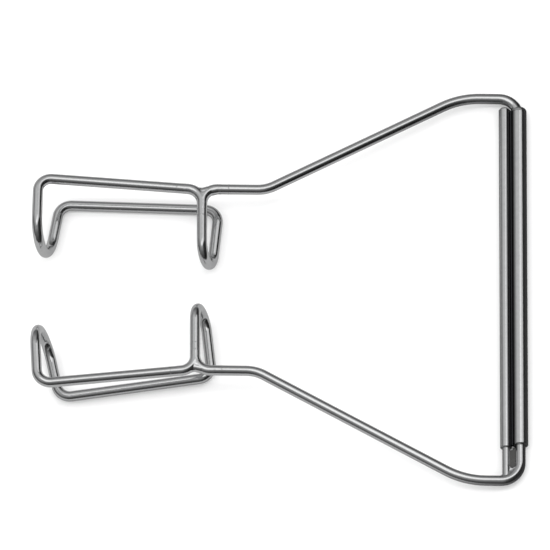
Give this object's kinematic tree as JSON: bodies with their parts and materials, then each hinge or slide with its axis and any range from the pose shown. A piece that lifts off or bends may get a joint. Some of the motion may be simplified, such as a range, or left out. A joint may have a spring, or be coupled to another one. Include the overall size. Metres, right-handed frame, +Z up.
{
  "type": "self retaining wire retractor",
  "caption": "Spring wire retractor: two cranked arms with saddle-shaped wire hooks, one fixed in a guide tube and one sliding along it on a shank and pilot rod.",
  "frame": {"origin": "middle of the bounding box on the table, with the retractor lying on its guide tube and its foot rails, as pictured", "axes": "+X from the saddles to the tubes, along the longest extent; +Y along the tubes from the sliding arm to the fixed arm; +Z up from the table, along the shortest extent"},
  "size_m": [0.11, 0.0952, 0.0141],
  "materials": {
    "spring_wire": "polished stainless spring wire",
    "tube_steel": "polished stainless tube",
    "silver_braze": "dressed silver braze",
    "bearing_steel": "turned stainless"
  },
  "bodies": {
    "fixed_frame": {"guide_tube": "tube_steel", "pilot_tube": "tube_steel", "tube_seam_braze": "silver_braze", "guide_bush": "bearing_steel", "pilot_bush": "bearing_steel", "pilot_tube_plug": "tube_steel", "fixed_shank_braze": "silver_braze", "fixed_arm": "spring_wire", "fixed_saddle": "spring_wire", "fixed_junction_braze": "silver_braze"},
    "sliding_frame": {"sliding_arm": "spring_wire", "sliding_saddle": "spring_wire", "sliding_junction_braze": "silver_braze", "pilot_rod": "spring_wire", "pilot_rod_braze": "silver_braze", "shank_collar": "bearing_steel", "pilot_collar": "bearing_steel"}
  },
  "joints": [
    {"name": "arm_slide", "type": "slide", "parent": "fixed_frame", "child": "sliding_frame", "axis": [0, -1, 0], "range_m": [-0.0005, 0.0458]}
  ]
}
